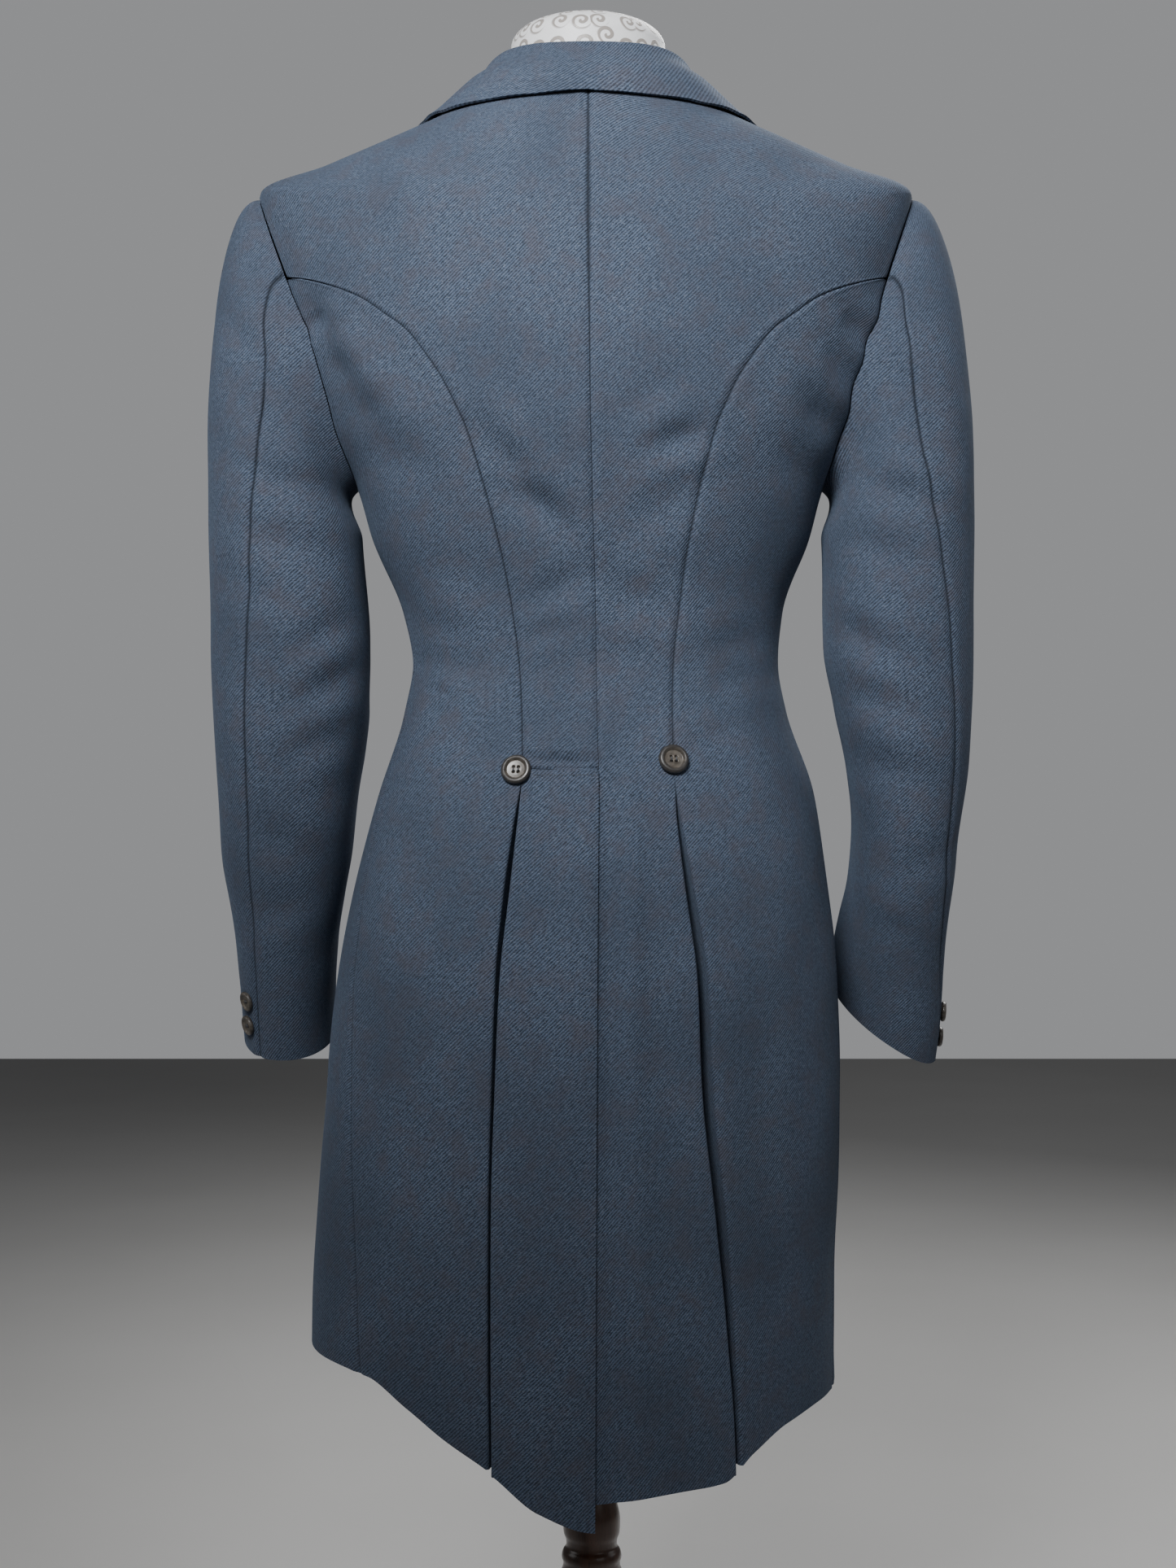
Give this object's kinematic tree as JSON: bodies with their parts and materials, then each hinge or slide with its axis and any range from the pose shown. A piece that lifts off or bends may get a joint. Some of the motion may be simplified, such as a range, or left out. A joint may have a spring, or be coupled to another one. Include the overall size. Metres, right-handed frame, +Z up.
{
  "type": "frock coat on a dress form",
  "caption": "Hollow wool frock coat with collar, long sleeves and split tails, worn open-hemmed on a limbless dress form with a turned wood post and round base",
  "frame": {"origin": "middle of the underside of the round base, on the floor", "axes": "+Z up, along the stand and the coat's length; -Y the way the coat's front faces; +X the wearer's left"},
  "size_m": [0.5495, 0.37, 1.4995],
  "materials": {
    "wool": "matt twill",
    "horn": "polished",
    "linen": "matt plain weave",
    "brocade": "silky, patterned",
    "oak": "polished"
  },
  "bodies": {
    "root": {"back_left": "wool", "back_right": "wool", "side_left": "wool", "side_right": "wool", "front_left": "wool", "front_right": "wool", "collar": "wool", "lapel_left": "wool", "lapel_right": "wool", "sleeve_top_left": "wool", "sleeve_under_left": "wool", "sleeve_top_right": "wool", "sleeve_under_right": "wool", "waist_button_left": "horn", "waist_button_right": "horn", "cuff_button_left_1": "horn", "cuff_button_left_2": "horn", "cuff_button_right_1": "horn", "cuff_button_right_2": "horn", "front_button_1": "horn", "front_button_2": "horn", "front_button_3": "horn", "form_torso": "linen", "neck_cap": "brocade", "post": "oak", "base": "oak"}
  },
  "joints": []
}
